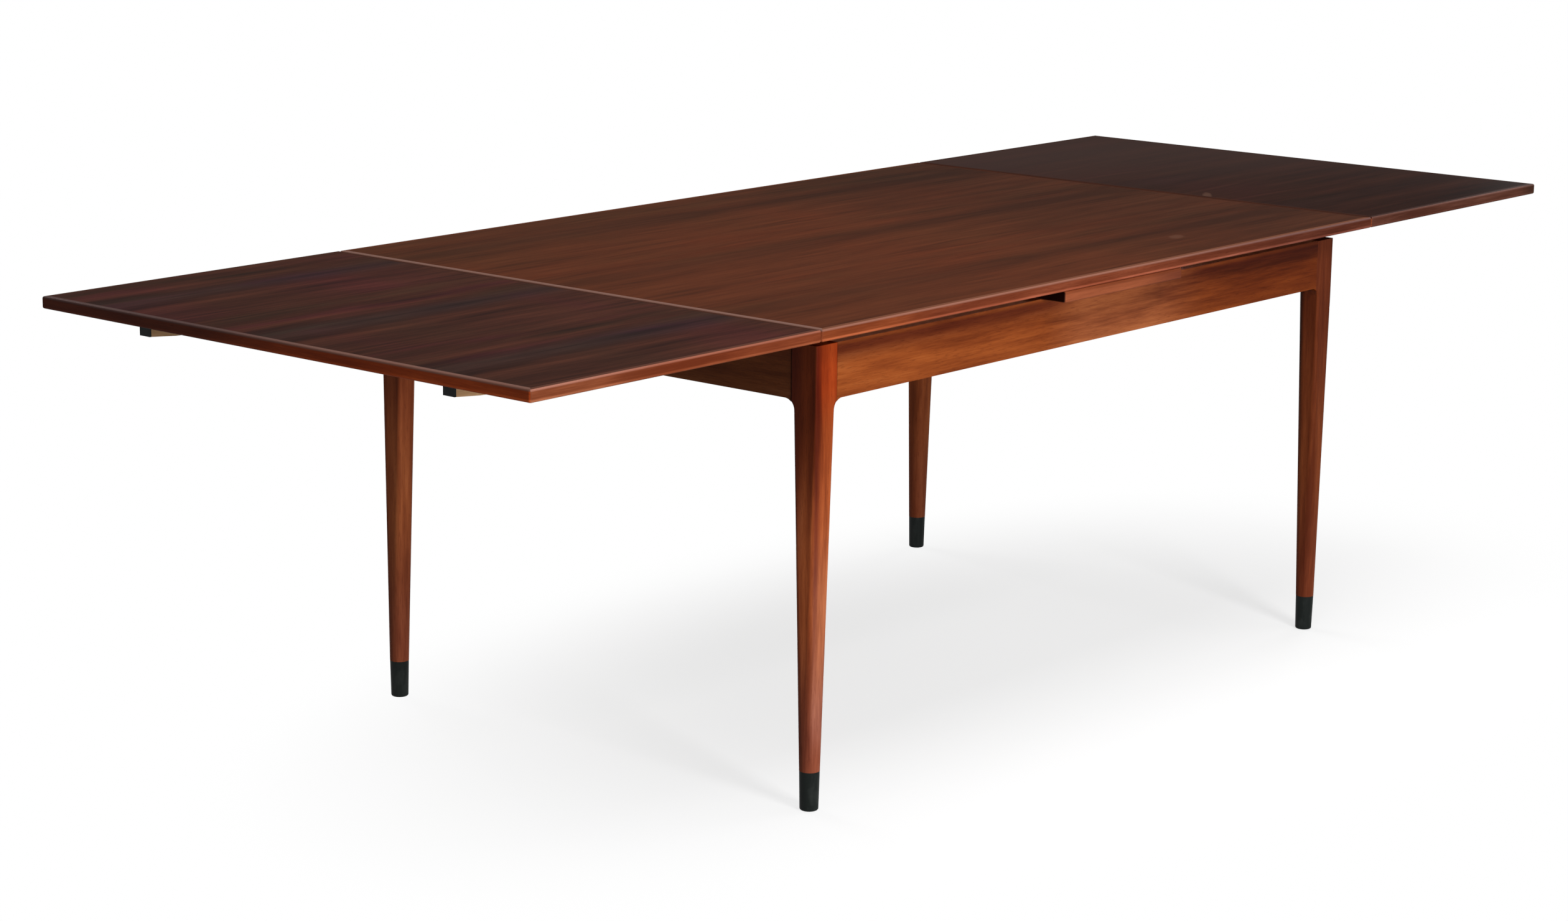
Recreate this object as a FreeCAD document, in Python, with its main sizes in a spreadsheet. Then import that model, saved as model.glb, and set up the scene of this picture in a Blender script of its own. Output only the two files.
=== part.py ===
import FreeCAD, Part
import os
import Sketcher
from FreeCAD import Placement, Rotation, Vector

# Extending dining table with a loose top and two draw leaves.
# X runs along the table, Y across it and Z up. The origin lies on the floor under
# the middle of the top. The leaves are drawn out, as when the table is in full use.

doc = FreeCAD.newDocument("DiningTable")
sheet = doc.addObject("Spreadsheet::Sheet", "Sizes")

sizes = {
    # The four boards that lie in one plane, and what is stored below the top
    "table_height": 730,
    "board_thickness": 18,
    "top_length": 1480,
    "top_width": 990,
    "bridge_width": 318,
    "seam_gap": 1,
    "bridge_clearance": 1,
    "board_corner_radius": 4,
    "upper_arris_radius": 3,
    "lower_arris_radius": 3,
    "lipping_width": 10,
    # Legs and shoes
    "end_overhang": 45,
    "side_overhang": 47,
    "leg_head_width": 48,
    "leg_shank_width": 42,
    "leg_ankle_width": 30.4,
    "leg_edge_radius": 3,
    "leg_inner_radius": 15,
    "ankle_round_share": 0.49,
    "cove_radius": 17,
    "shoe_height": 60,
    "shoe_sole_width": 27.8,
    "shoe_edge_radius": 3,
    # Aprons, corner blocks and cross rails
    "apron_depth": 82,
    "apron_thickness": 22,
    "apron_setback": 1,
    "block_reach_length": 90,
    "block_height": 55,
    "block_drop": 10,
    "cross_rail_inset": 34,
    "cross_rail_thickness": 20,
    "cross_rail_depth": 74,
    "housing_depth": 6,
    "rail_notch_clearance": 3,
    # Bearers, their caps and stops
    "bearer_width": 22,
    "bearer_tip_depth": 25,
    "bearer_tip_inset": 40,
    "bearer_nose_length": 45,
    "bearer_nose_rise": 3,
    "bearer_grip_length": 100,
    "bearer_block_gap": 15,
    "bearer_pair_gap": 11,
    "bearer_side_clearance": 0.5,
    "bearer_seat_clearance": 0.2,
    "cap_thickness": 3,
    "stop_peg_diameter": 10,
    "stop_peg_exposed_length": 8,
    "stop_peg_buried_length": 16,
    "stop_gap": 4.3,
    # Pegs that keep the loose top over the bridge
    "top_peg_diameter": 16,
    "top_peg_clearance": 0.1,
    "top_peg_exposed_length": 28,
    "top_peg_buried_length": 8,
    "top_peg_inset": 115,
    # Screws
    "screw_diameter": 4,
    "screw_head_diameter": 8,
    "screw_head_height": 3,
    "bridge_screw_length": 42,
    "bridge_screw_inset": 34,
    "bearer_screw_length": 28,
    "bearer_screw_bite_depth": 12,
    "bearer_screw_inset": 70,
    "bearer_screw_inner_inset": 110,
    "counterbore_diameter": 9,
    # How far a cutting shape runs past what it cuts
    "cut_overrun_length": 5,
}
for row, (name, value) in enumerate(sizes.items(), start=1):
    sheet.set(f"A{row}", name)
    sheet.set(f"B{row}", str(value))
    sheet.setAlias(f"B{row}", name)
doc.recompute()


def size(name):
    """A size from the sheet, for the first guess of a sketch."""
    return float(sheet.get(name))


# Places that several pieces share, written in the sheet's names
UNDERSIDE = "(Sizes.table_height - Sizes.board_thickness)"
FRAME_TOP = "(Sizes.table_height - Sizes.board_thickness - Sizes.board_thickness)"
APRON_BOTTOM = f"({FRAME_TOP} - Sizes.apron_depth)"
COVE_LEVEL = f"({APRON_BOTTOM} - Sizes.cove_radius)"
TOP_END = "(Sizes.top_length / 2)"
TOP_SIDE = "(Sizes.top_width / 2)"
LEG_X = f"({TOP_END} - Sizes.end_overhang)"
LEG_Y = f"({TOP_SIDE} - Sizes.side_overhang)"
APRON_BACK = "(Sizes.apron_setback + Sizes.apron_thickness)"
LEAF_INNER = f"({TOP_END} + Sizes.seam_gap)"
BRIDGE_HALF = "(Sizes.bridge_width / 2)"

# A leaf is as long as the room for it under the top, between the bridge and the edge.
LEAF_LENGTH = f"({TOP_END} - {BRIDGE_HALF} - Sizes.bridge_clearance)"
LEAF_OUTER = f"({LEAF_INNER} + {LEAF_LENGTH})"

# A bearer falls by one board's thickness over the leaf's travel, so that the leaf
# comes level with the top when it is out and lies on the frame when it is in.
FALL = f"(Sizes.board_thickness / ({LEAF_LENGTH} + Sizes.seam_gap))"
TIP_X = f"({LEAF_OUTER} - Sizes.bearer_tip_inset)"
BEARER_LENGTH = f"({TIP_X} - {BRIDGE_HALF} + Sizes.bearer_grip_length)"
BEARER_FLAT = f"({LEAF_LENGTH} - Sizes.bearer_tip_inset)"
BEARER_DROP = f"(Sizes.bearer_tip_depth + {FALL} * {BEARER_LENGTH})"

# The left leaf's bearers pass just inside the corner blocks, and the right leaf's
# bearers pass between them.
BLOCK_END = f"({APRON_BACK} + Sizes.block_reach_length)"
LEFT_BEARER_Y = f"({LEG_Y} - {BLOCK_END} - Sizes.bearer_block_gap - Sizes.bearer_width / 2)"
RIGHT_BEARER_Y = f"({LEFT_BEARER_Y} - Sizes.bearer_width - Sizes.bearer_pair_gap)"

# Screws along each bearer, evenly spaced between the leaf's ends
SCREWS_PER_BEARER = 3
SCREW_ROOM = f"({LEAF_LENGTH} - Sizes.bearer_screw_inset - Sizes.bearer_screw_inner_inset)"


def underside_at(x):
    """Height of a drawn bearer's lower edge at a distance from the table's middle."""
    return f"({UNDERSIDE} - Sizes.bearer_tip_depth - {FALL} * ({TIP_X} - {x}))"


def move(thing, x="0", y="0", z="0", turn=0, axis=Vector(0, 0, 1)):
    """Turns a piece, and ties its place to the sheet."""
    thing.Placement = Placement(Vector(0, 0, 0), Rotation(axis, turn))
    for letter, rule in zip("xyz", (x, y, z)):
        if rule != "0":
            thing.setExpression(f"Placement.Base.{letter}", rule)
    return thing


def new_body(name):
    body = doc.addObject("PartDesign::Body", name)
    body.Label = name
    return body


def new_sketch(body, name, role, level="0"):
    """A sketch on one of the body's own origin planes, raised to a level."""
    sketch = body.newObject("Sketcher::SketchObject", name)
    plane = [f for f in body.Origin.OriginFeatures if f.Role == role][0]
    sketch.AttachmentSupport = [(plane, "")]
    sketch.MapMode = "FlatFace"
    if level != "0":
        sketch.setExpression("AttachmentOffset.Base.z", level)
    return sketch


def tie(sketch, name, constraint, rule):
    """Adds a named dimension to a sketch and ties it to the sheet."""
    index = sketch.addConstraint(constraint)
    sketch.renameConstraint(index, name)
    sketch.setExpression(f"Constraints.{name}", rule)


def outline(sketch, corners):
    """A closed outline through corners whose distances are tied to the sheet."""
    count = len(corners)
    seeds = [Vector(i, i * i, 0) for i in range(count)]
    for i in range(count):
        sketch.addGeometry(Part.LineSegment(seeds[i], seeds[(i + 1) % count]))
    for i in range(count):
        sketch.addConstraint(Sketcher.Constraint("Coincident", i, 2, (i + 1) % count, 1))
    for i, (across, up) in enumerate(corners):
        start = Sketcher.Constraint("DistanceX", -1, 1, i, 1, seeds[i].x)
        tie(sketch, f"across_{i}", start, across)
        start = Sketcher.Constraint("DistanceY", -1, 1, i, 1, seeds[i].y)
        tie(sketch, f"up_{i}", start, up)
    return sketch


def rounded_square(sketch, width, corner, far_corner):
    """A square from the sketch's origin with round corners, the far one with its own radius."""
    w = size(width)
    r = w / 3
    ends = [(r, 0), (w - r, 0), (w, r), (w, w - r), (w - r, w), (r, w), (0, w - r), (0, r)]
    centres = [(w - r, r), (w - r, w - r), (r, w - r), (r, r)]
    points = [Vector(x, y, 0) for x, y in ends]
    for side in range(4):
        start = points[2 * side]
        end = points[2 * side + 1]
        after = points[(2 * side + 2) % 8]
        sketch.addGeometry(Part.LineSegment(start, end))
        middle = Vector(*centres[side], 0)
        bulge = middle + (end - middle + after - middle).normalize() * r
        sketch.addGeometry(Part.Arc(end, bulge, after))
    # lines are even and arcs are odd, and the far corner is the second arc
    for side in range(4):
        line = 2 * side
        arc = line + 1
        after = (line + 2) % 8
        sketch.addConstraint(Sketcher.Constraint("Tangent", line, 2, arc, 1))
        sketch.addConstraint(Sketcher.Constraint("Tangent", arc, 2, after, 1))
        level = "Horizontal" if side % 2 == 0 else "Vertical"
        sketch.addConstraint(Sketcher.Constraint(level, line))
        if side > 1:
            sketch.addConstraint(Sketcher.Constraint("Equal", 1, arc))
    sketch.addConstraint(Sketcher.Constraint("PointOnObject", 0, 1, -1))
    sketch.addConstraint(Sketcher.Constraint("PointOnObject", 6, 1, -2))
    tie(sketch, "corner", Sketcher.Constraint("Radius", 1, r), corner)
    tie(sketch, "far_corner", Sketcher.Constraint("Radius", 3, r), far_corner)
    far_side = Sketcher.Constraint("DistanceX", -1, 1, 2, 1, w)
    tie(sketch, "width", far_side, f"Sizes.{width}")
    back_side = Sketcher.Constraint("DistanceY", -1, 1, 4, 1, w)
    tie(sketch, "depth", back_side, f"Sizes.{width}")
    return sketch


def head_outline(sketch):
    """A leg's head: a square whose far corner is hollowed down to the shank's round one."""
    head = "Sizes.leg_head_width"
    shank = "Sizes.leg_shank_width"
    flat = f"({shank} - Sizes.leg_inner_radius)"
    h = size("leg_head_width")
    s = size("leg_shank_width")
    r = size("leg_inner_radius")
    guesses = [(0, 0), (h, 0), (h, s - r), (s, s - r), (s - r, s), (s - r, h), (0, h)]
    rules = [
        ("0", "0"),
        (head, "0"),
        (head, flat),
        (shank, flat),
        (flat, shank),
        (flat, head),
        ("0", head),
    ]
    points = [Vector(x, y, 0) for x, y in guesses]
    bulge = Vector(s - r, s - r, 0) + Vector(1, 1, 0).normalize() * r
    arc = 3
    for i, start in enumerate(points):
        end = points[(i + 1) % len(points)]
        side = Part.Arc(start, bulge, end) if i == arc else Part.LineSegment(start, end)
        sketch.addGeometry(side)
    for i, (across, up) in enumerate(rules):
        after = (i + 1) % len(points)
        sketch.addConstraint(Sketcher.Constraint("Coincident", i, 2, after, 1))
        distance = Sketcher.Constraint("DistanceX", -1, 1, i, 1, points[i].x)
        tie(sketch, f"across_{i}", distance, across)
        distance = Sketcher.Constraint("DistanceY", -1, 1, i, 1, points[i].y)
        tie(sketch, f"up_{i}", distance, up)
    tie(sketch, "inner", Sketcher.Constraint("Radius", arc, r), "Sizes.leg_inner_radius")
    return sketch


def disc(sketch, radius, across, up):
    """A circle whose radius and middle are tied to the sheet, from a unit circle."""
    sketch.addGeometry(Part.Circle(Vector(1, 1, 0), Vector(0, 0, 1), 1))
    tie(sketch, "across", Sketcher.Constraint("DistanceX", -1, 1, 0, 3, 1), across)
    tie(sketch, "up", Sketcher.Constraint("DistanceY", -1, 1, 0, 3, 1), up)
    tie(sketch, "radius", Sketcher.Constraint("Radius", 0, 1), radius)
    return sketch


def pad(body, sketch, length, name="Pad", both_ways=False):
    feature = body.newObject("PartDesign::Pad", name)
    feature.Profile = sketch
    if both_ways:
        feature.SideType = "Symmetric"
    feature.setExpression("Length", length)
    return feature


def pocket(body, sketch, length, name):
    """Cuts a sketch out to both sides of its plane."""
    feature = body.newObject("PartDesign::Pocket", name)
    feature.Profile = sketch
    feature.SideType = "Symmetric"
    feature.setExpression("Length", length)
    return feature


def loft(body, name, first, last):
    feature = body.newObject("PartDesign::AdditiveLoft", name)
    feature.Profile = first
    feature.Sections = [last]
    feature.Ruled = True
    return feature


def round_edges(body, name, base, wanted, radius):
    """Rounds the edges of the last feature that the test picks."""
    doc.recompute()
    names = [f"Edge{n}" for n, edge in enumerate(base.Shape.Edges, start=1) if wanted(edge)]
    feature = body.newObject("PartDesign::Fillet", name)
    feature.Base = (base, names)
    feature.setExpression("Radius", radius)
    return feature


def cut(name, base, tools):
    """One piece less the shapes that are cut out of it."""
    tool = tools[0]
    if len(tools) > 1:
        tool = doc.addObject("Part::MultiFuse", name + "_cutter")
        tool.Shapes = tools
    result = doc.addObject("Part::Cut", name)
    result.Base = base
    result.Tool = tool
    result.Label = name
    return result


def group(name, pieces):
    result = doc.addObject("Part::Compound", name)
    result.Links = pieces
    result.Label = name
    return result


def block(name, length, width, height, x, y, z):
    """A straight-sided block from its low corner."""
    result = doc.addObject("Part::Box", name)
    result.setExpression("Length", length)
    result.setExpression("Width", width)
    result.setExpression("Height", height)
    return move(result, x, y, z)


def rod(name, diameter, height, x, y, z, turn=0, axis=Vector(0, 0, 1)):
    """A round rod from the middle of its first end."""
    result = doc.addObject("Part::Cylinder", name)
    result.setExpression("Radius", f"({diameter}) / 2")
    result.setExpression("Height", height)
    return move(result, x, y, z, turn, axis)


nodes = []


def keep(*pieces):
    nodes.extend(pieces)


def upright(edge):
    return len(edge.Vertexes) == 2 and abs(edge.tangentAt(edge.FirstParameter).z) > 0.99


def level_at(height):
    """Picks the edges that lie at one height."""

    def test(edge):
        box = edge.BoundBox
        near = size("board_thickness") / 100
        return abs(box.ZMin - height) < near and abs(box.ZMax - height) < near

    return test


def board(name, length, width):
    """A board with its low corner at the origin: round corners and eased arrises."""
    body = new_body(name)
    corners = [("0", "0"), (length, "0"), (length, width), ("0", width)]
    plan = outline(new_sketch(body, name + "_plan", "XY_Plane"), corners)
    slab = pad(body, plan, "Sizes.board_thickness", name + "_slab")
    corner = "Sizes.board_corner_radius"
    rounded = round_edges(body, name + "_corners", slab, upright, corner)
    doc.recompute()
    upper = level_at(size("board_thickness"))
    eased = round_edges(body, name + "_upper", rounded, upper, "Sizes.upper_arris_radius")
    round_edges(body, name + "_lower", eased, level_at(0), "Sizes.lower_arris_radius")
    return body


def mitred_strip(name, corners):
    """The space of one lipping between its mitres, a board's thickness high."""
    body = new_body(name)
    plan = outline(new_sketch(body, name + "_plan", "XY_Plane"), corners)
    pad(body, plan, "Sizes.board_thickness", name + "_pad")
    return body


def lipped_board(name, length, x):
    """A veneered panel and the four mitred lippings glued round it."""
    width = "Sizes.top_width"
    lip = "Sizes.lipping_width"
    far = f"({length} - {lip})"
    back = f"({width} - {lip})"
    blank = board(name + "_blank", length, width)
    plans = {
        "front": [("0", "0"), (length, "0"), (far, lip), (lip, lip)],
        "right": [(length, "0"), (length, width), (far, back), (far, lip)],
        "back": [(length, width), ("0", width), (lip, back), (far, back)],
        "left": [("0", width), ("0", "0"), (lip, lip), (lip, back)],
    }
    strips = []
    for side, corners in plans.items():
        strip = doc.addObject("Part::MultiCommon", f"{name}_lipping_{side}")
        strip.Shapes = [blank, mitred_strip(f"{name}_mitre_{side}", corners)]
        strip.Label = f"{name}_lipping_{side}"
        strips.append(move(strip, x, f"-{TOP_SIDE}", UNDERSIDE))
    inner_x = f"{x} + {lip}"
    inner_y = f"{lip} - {TOP_SIDE}"
    body = new_body(name + "_core")
    plan = new_sketch(body, name + "_core_plan", "XY_Plane")
    core_length = f"{length} - 2 * {lip}"
    core_width = f"{width} - 2 * {lip}"
    outline(plan, [("0", "0"), (core_length, "0"), (core_length, core_width), ("0", core_width)])
    pad(body, plan, "Sizes.board_thickness", name + "_core_pad")
    move(body, inner_x, inner_y, UNDERSIDE)
    return strips, body


def screw(name, length, x, y, z, downwards):
    """A countersunk screw from the face of its head, driven down or up."""
    head = doc.addObject("Part::Cone", name + "_head")
    head.setExpression("Radius1", "Sizes.screw_head_diameter / 2")
    head.setExpression("Radius2", "Sizes.screw_diameter / 2")
    head.setExpression("Height", "Sizes.screw_head_height")
    shank = rod(name + "_shank", "Sizes.screw_diameter", length, "0", "0", "0")
    whole = doc.addObject("Part::MultiFuse", name)
    whole.Shapes = [head, shank]
    turn = 180 if downwards else 0
    return move(whole, x, y, z, turn, Vector(1, 0, 0))


# Legs: each starts at its outer corner, and a quarter turn takes it to the next corner.
corner_places = {
    "front_left": (f"-{LEG_X}", f"-{LEG_Y}"),
    "front_right": (LEG_X, f"-{LEG_Y}"),
    "back_right": (LEG_X, LEG_Y),
    "back_left": (f"-{LEG_X}", LEG_Y),
}
quarter_turn_angle = 90


def outer_edge(edge):
    """Picks the edges round a head's two outer faces, apart from the level ones."""
    box = edge.BoundBox
    near = size("leg_head_width") / 100
    return min(box.XMax, box.YMax) < near and box.ZLength > near


for number, (place, (x, y)) in enumerate(corner_places.items()):
    turn = number * quarter_turn_angle
    name = "leg_" + place
    body = new_body(name)
    section = head_outline(new_sketch(body, name + "_head_plan", "XY_Plane", COVE_LEVEL))
    head = pad(body, section, "Sizes.cove_radius + Sizes.apron_depth", name + "_head")
    # coves hollow the two inner faces of the head, down to the shank's width
    cove_x = "Sizes.leg_shank_width + Sizes.cove_radius"
    through = "2 * (Sizes.leg_head_width + Sizes.cut_overrun_length)"
    for plane in ("XZ_Plane", "YZ_Plane"):
        bend = new_sketch(body, f"{name}_cove_{plane[:2]}", plane)
        disc(bend, "Sizes.cove_radius", cove_x, COVE_LEVEL)
        head = pocket(body, bend, through, f"{name}_cove_{plane[:2]}_cut")
    round_edges(body, name + "_edges", head, outer_edge, "Sizes.leg_edge_radius")
    edge = "Sizes.leg_edge_radius"
    inner = "Sizes.leg_inner_radius"
    ankle_round = "Sizes.leg_ankle_width * Sizes.ankle_round_share"
    shank = new_sketch(body, name + "_shank", "XY_Plane", COVE_LEVEL)
    rounded_square(shank, "leg_shank_width", edge, inner)
    ankle = new_sketch(body, name + "_ankle", "XY_Plane", "Sizes.shoe_height")
    rounded_square(ankle, "leg_ankle_width", ankle_round, ankle_round)
    loft(body, name + "_taper", ankle, shank)
    keep(move(body, x, y, "0", turn))

    name = "shoe_" + place
    body = new_body(name)
    middle = "Sizes.leg_ankle_width / 2"
    cone = body.newObject("PartDesign::AdditiveCone", name + "_cone")
    cone.setExpression("Radius1", "Sizes.shoe_sole_width / 2")
    cone.setExpression("Radius2", "Sizes.leg_ankle_width / 2")
    cone.setExpression("Height", "Sizes.shoe_height")
    cone.setExpression("Placement.Base.x", middle)
    cone.setExpression("Placement.Base.y", middle)
    round_edges(body, name + "_rim", cone, level_at(0), "Sizes.shoe_edge_radius")
    keep(move(body, x, y, "0", turn))

# The fixed bridge, as wide as the stored leaves leave it, with holes for pegs and screws
bridge_blank = board("bridge_blank", f"(2 * {BRIDGE_HALF})", "Sizes.top_width")
move(bridge_blank, f"-{BRIDGE_HALF}", f"-{TOP_SIDE}", FRAME_TOP)
screw_x = f"({BRIDGE_HALF} - Sizes.bridge_screw_inset)"
screw_y = f"({LEG_Y} - Sizes.apron_setback - Sizes.apron_thickness / 2)"
bridge_screws = []
for end, x in (("left", f"-{screw_x}"), ("right", screw_x)):
    for side, y in (("front", f"-{screw_y}"), ("back", screw_y)):
        name = f"bridge_screw_{side}_{end}"
        bridge_screws.append(screw(name, "Sizes.bridge_screw_length", x, y, UNDERSIDE, True))
bridge_screw_group = group("bridge_screws", bridge_screws)
peg_y = f"({TOP_SIDE} - Sizes.top_peg_inset)"
peg_base = f"({UNDERSIDE} - Sizes.top_peg_exposed_length)"
peg_height = "Sizes.top_peg_exposed_length + Sizes.top_peg_buried_length"
hole_width = "Sizes.top_peg_diameter + 2 * Sizes.top_peg_clearance"
top_pegs = []
peg_holes = []
for side, y in (("front", f"-{peg_y}"), ("back", peg_y)):
    top_pegs.append(rod("top_peg_" + side, "Sizes.top_peg_diameter", peg_height, "0", y, peg_base))
    peg_holes.append(rod("peg_hole_" + side, hole_width, peg_height, "0", y, peg_base))
keep(cut("centre_bridge", bridge_blank, [bridge_screw_group] + peg_holes), bridge_screw_group)

# Long aprons: the coves of the legs run out along their lower edges.
long_span = f"(2 * ({LEG_X} - Sizes.leg_head_width))"
short_span = f"(2 * ({LEG_Y} - Sizes.leg_head_width))"
deep = "Sizes.apron_depth + Sizes.cove_radius"
cove_run = "(Sizes.cove_radius - Sizes.leg_head_width + Sizes.leg_shank_width)"
through = "Sizes.apron_thickness + 2 * Sizes.cut_overrun_length"
rail_span = f"(2 * ({LEG_Y} - {APRON_BACK} + Sizes.housing_depth))"
rail_bottom = f"({FRAME_TOP} - Sizes.cross_rail_depth)"


def apron_blank(name, span):
    """An apron along X from its low left corner, with a cove at each end."""
    blank = block(name + "_board", span, "Sizes.apron_thickness", deep, "0", "0", "0")
    straight = f"{span} - 2 * {cove_run}"
    before = "-Sizes.cut_overrun_length"
    window = block(name + "_window", straight, through, "Sizes.cove_radius", cove_run, before, "0")
    wide = "2 * Sizes.cove_radius"
    sideways = Vector(1, 0, 0)
    left = rod(name + "_cove_left", wide, through, cove_run, before, "0", -90, sideways)
    far = f"{span} - {cove_run}"
    right = rod(name + "_cove_right", wide, through, far, before, "0", -90, sideways)
    return cut(name, blank, [window, left, right])


rail_x = f"({BRIDGE_HALF} - Sizes.cross_rail_inset)"
rails = {"left": f"-{rail_x}", "right": rail_x}
for side, sign in (("front", "-"), ("back", "")):
    name = "apron_" + side
    blank = apron_blank(name + "_blank", long_span)
    outer = f"{LEG_Y} - Sizes.apron_setback"
    low_y = f"-({outer})" if side == "front" else f"{outer} - Sizes.apron_thickness"
    move(blank, f"-{long_span} / 2", low_y, COVE_LEVEL)
    housings = []
    for end, middle in rails.items():
        x = f"{middle} - Sizes.cross_rail_thickness / 2"
        y = f"-{rail_span} / 2"
        tall = "Sizes.cross_rail_depth + Sizes.cut_overrun_length"
        housing = f"{name}_housing_{end}"
        wide = "Sizes.cross_rail_thickness"
        housings.append(block(housing, wide, rail_span, tall, x, y, rail_bottom))
    keep(cut(name, blank, housings + [bridge_screw_group]))

# End aprons: each has two notches open at the top, where the leaf's bearers run through.
end_face = f"({LEG_X} - {APRON_BACK})"
notch_floor = f"({underside_at(end_face)} - Sizes.bearer_seat_clearance)"
notch_width = "(Sizes.bearer_width + 2 * Sizes.bearer_side_clearance)"
bearer_rows = {"left": LEFT_BEARER_Y, "right": RIGHT_BEARER_Y}
for end, offset in bearer_rows.items():
    name = "apron_" + end
    blank = apron_blank(name + "_blank", short_span)
    outer = f"{LEG_X} - Sizes.apron_setback"
    x = f"-({outer}) + Sizes.apron_thickness" if end == "left" else outer
    move(blank, x, f"-{short_span} / 2", COVE_LEVEL, 90)
    near_face = f"-({outer})" if end == "left" else end_face
    low_x = f"{near_face} - Sizes.cut_overrun_length"
    tall = f"{FRAME_TOP} - {notch_floor} + Sizes.cut_overrun_length"
    notches = []
    for side, sign in (("front", "-"), ("back", "")):
        notch = f"{name}_notch_{side}"
        y = f"{sign}{offset} - {notch_width} / 2"
        notches.append(block(notch, through, notch_width, tall, low_x, y, notch_floor))
    keep(cut(name, blank, notches))

# Cross rails: let into the long aprons, and notched for all four bearers
far_face = f"(-{rail_x} - Sizes.cross_rail_thickness / 2)"
rail_notch_floor = f"({underside_at(far_face)} - Sizes.rail_notch_clearance)"
for end, middle in rails.items():
    name = "cross_rail_" + end
    body = new_body(name + "_blank")
    plan = new_sketch(body, name + "_plan", "XY_Plane")
    thick = "Sizes.cross_rail_thickness"
    outline(plan, [("0", "0"), (thick, "0"), (thick, rail_span), ("0", rail_span)])
    pad(body, plan, "Sizes.cross_rail_depth", name + "_pad")
    x = f"{middle} - Sizes.cross_rail_thickness / 2"
    move(body, x, f"-{rail_span} / 2", rail_bottom)
    notches = []
    for leaf, offset in bearer_rows.items():
        for side, sign in (("front", "-"), ("back", "")):
            y = f"{sign}{offset} - {notch_width} / 2"
            tall = f"{FRAME_TOP} - {rail_notch_floor} + Sizes.cut_overrun_length"
            long = "Sizes.cross_rail_thickness + 2 * Sizes.cut_overrun_length"
            notch = f"{name}_notch_{leaf}_{side}"
            low_x = f"{x} - Sizes.cut_overrun_length"
            notches.append(block(notch, long, notch_width, tall, low_x, y, rail_notch_floor))
    keep(cut(name, body, notches))

# Corner blocks: glued round the head of each leg, one shape turned to each corner
corner_blocks = []
for number, (place, (x, y)) in enumerate(corner_places.items()):
    turn = number * quarter_turn_angle
    body = new_body("corner_block_" + place)
    plan = new_sketch(body, f"corner_block_{place}_plan", "XY_Plane")
    head = "Sizes.leg_head_width"
    corners = [
        (APRON_BACK, head),
        (head, head),
        (head, APRON_BACK),
        (BLOCK_END, APRON_BACK),
        (APRON_BACK, BLOCK_END),
    ]
    outline(plan, corners)
    pad(body, plan, "Sizes.block_height", f"corner_block_{place}_pad")
    level = f"{FRAME_TOP} - Sizes.block_drop - Sizes.block_height"
    corner_blocks.append(move(body, x, y, level, turn))
keep(group("corner_blocks", corner_blocks))

# The loose top
top_strips, top_core = lipped_board("top", "Sizes.top_length", f"-{TOP_END}")
peg_group = group("top_pegs", top_pegs)
keep(*top_strips, cut("top_panel", top_core, [peg_group]), peg_group)

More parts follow.
